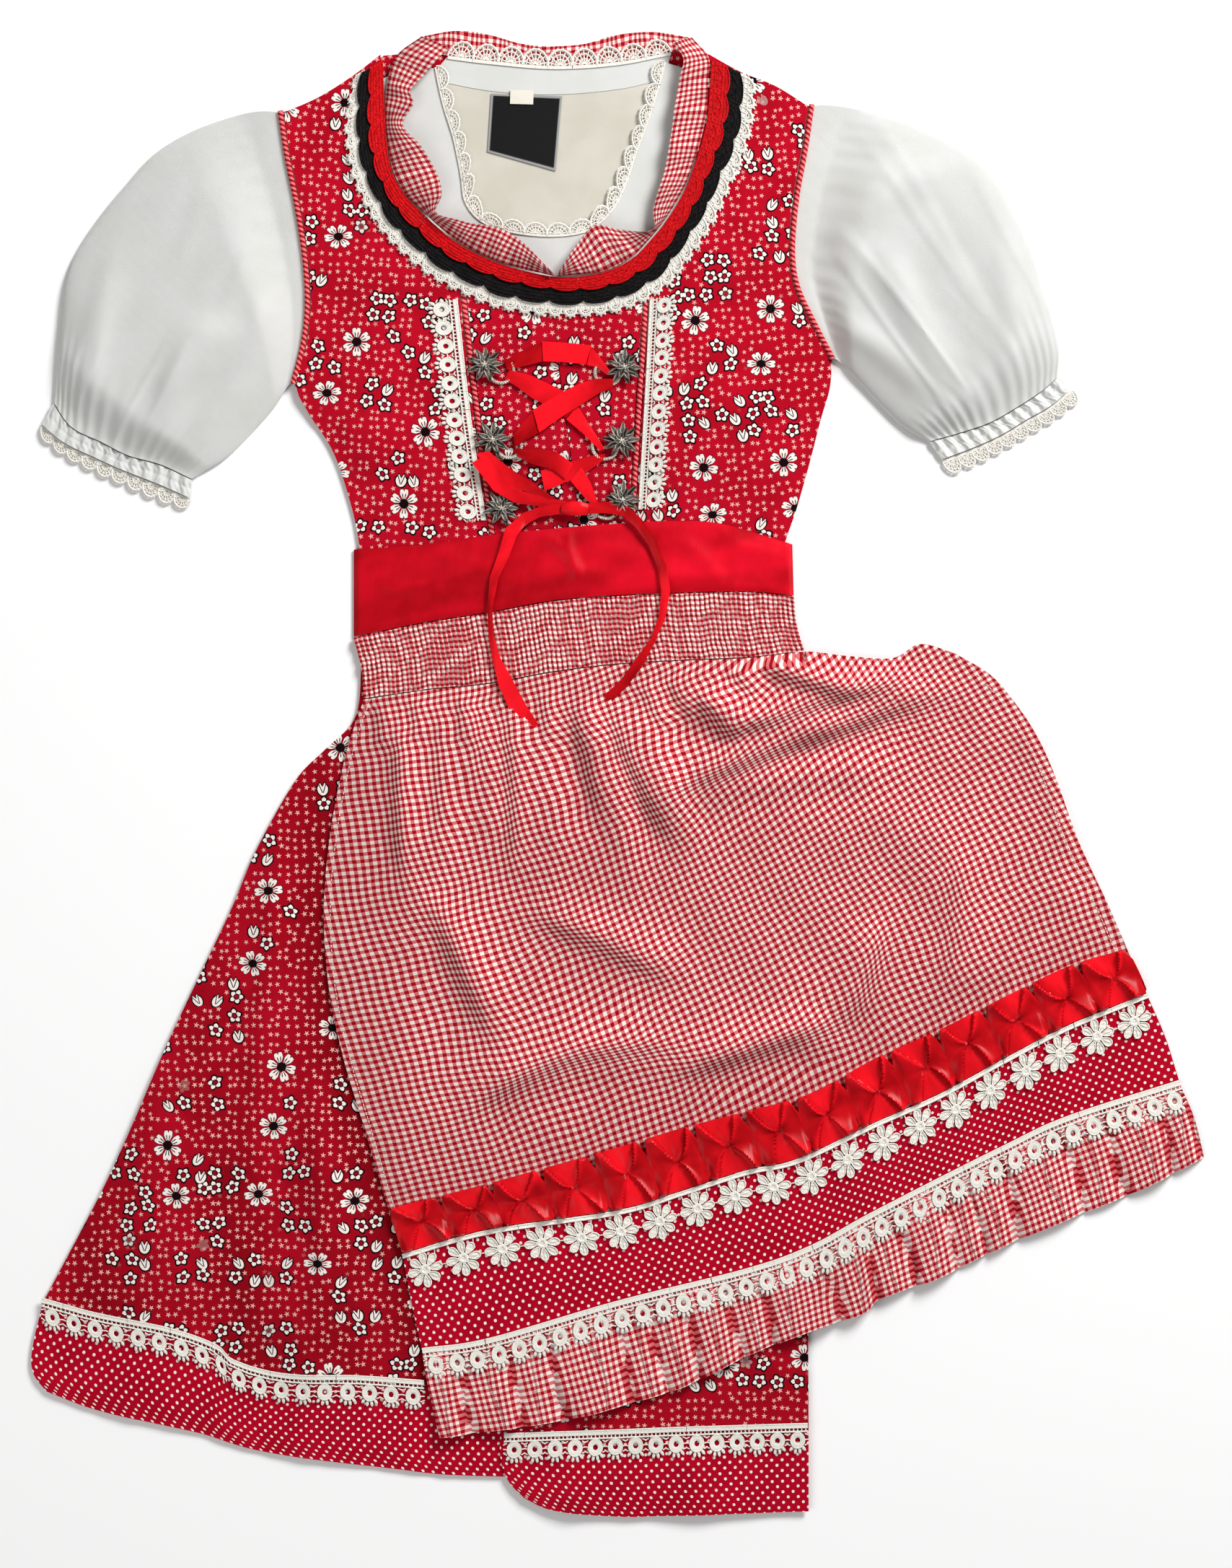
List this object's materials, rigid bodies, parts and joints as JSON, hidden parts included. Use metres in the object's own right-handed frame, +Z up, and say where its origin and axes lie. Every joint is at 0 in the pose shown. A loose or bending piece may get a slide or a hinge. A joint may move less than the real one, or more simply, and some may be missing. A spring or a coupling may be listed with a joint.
{
  "type": "dirndl",
  "caption": "Dirndl set laid flat: sleeveless laced bodice with a full skirt, puff-sleeved blouse under it, gingham apron with smocked yoke, satin ruche, lace and a ruffled hem.",
  "frame": {"origin": "bottom centre of the bounding box, on the surface the garment lies on", "axes": "+Y from the hem toward the neck, +X to the right of someone looking at the front, +Z up from the surface, out of the front"},
  "size_m": [0.911, 1.154, 0.0242],
  "materials": {
    "print_cotton": "matt red printed cotton",
    "gingham_cotton": "matt red and cream woven check",
    "dotted_cotton": "matt deep red cotton with small white dots",
    "red_satin": "bright red satin",
    "band_cotton": "plain red sateen",
    "ivory_lace": "ivory cotton lace",
    "blouse_cotton": "warm white matt cotton",
    "black_braid": "black scalloped braid",
    "label_weave": "black woven label, bare",
    "antique_silver": "dark antique silver"
  },
  "bodies": {
    "root": {"bodice_back": "print_cotton", "bodice_side_left": "print_cotton", "bodice_side_right": "print_cotton", "bodice_center_left": "print_cotton", "bodice_center_right": "print_cotton", "skirt_back": "print_cotton", "skirt_front_left": "print_cotton", "skirt_front_right": "print_cotton", "piping_armhole_left": "gingham_cotton", "piping_armhole_right": "gingham_cotton", "piping_princess_left": "gingham_cotton", "piping_princess_right": "gingham_cotton", "neck_ruffle_left": "gingham_cotton", "neck_ruffle_right": "gingham_cotton", "neck_ruffle_back": "gingham_cotton", "apron_smocking": "gingham_cotton", "apron_panel": "gingham_cotton", "apron_ruffle": "gingham_cotton", "hem_band_left": "dotted_cotton", "hem_band_right": "dotted_cotton", "apron_dot_band": "dotted_cotton", "neck_lace_red": "red_satin", "apron_ruche": "red_satin", "ribbon_bar": "red_satin", "ribbon_cross_falling": "red_satin", "ribbon_cross_rising": "red_satin", "ribbon_cross_lower": "red_satin", "ribbon_bow": "red_satin", "ribbon_tail_left": "red_satin", "ribbon_tail_right": "red_satin", "apron_waistband": "band_cotton", "hem_lace_left": "ivory_lace", "hem_lace_right": "ivory_lace", "bodice_lace_left": "ivory_lace", "bodice_lace_right": "ivory_lace", "neck_lace_white": "ivory_lace", "collar_lace": "ivory_lace", "blouse_neck_lace": "ivory_lace", "cuff_lace_left": "ivory_lace", "cuff_lace_right": "ivory_lace", "apron_daisy_lace": "ivory_lace", "apron_ring_lace": "ivory_lace", "blouse_back": "blouse_cotton", "blouse_front": "blouse_cotton", "collar_back": "blouse_cotton", "sleeve_front_left": "blouse_cotton", "sleeve_front_right": "blouse_cotton", "sleeve_back_left": "blouse_cotton", "sleeve_back_right": "blouse_cotton", "cuff_left": "blouse_cotton", "cuff_right": "blouse_cotton", "size_tab": "blouse_cotton", "neck_lace_black": "black_braid", "label": "label_weave", "hook_left_upper": "antique_silver", "hook_left_middle": "antique_silver", "hook_left_lower": "antique_silver", "hook_right_upper": "antique_silver", "hook_right_middle": "antique_silver", "hook_right_lower": "antique_silver"}
  },
  "joints": []
}
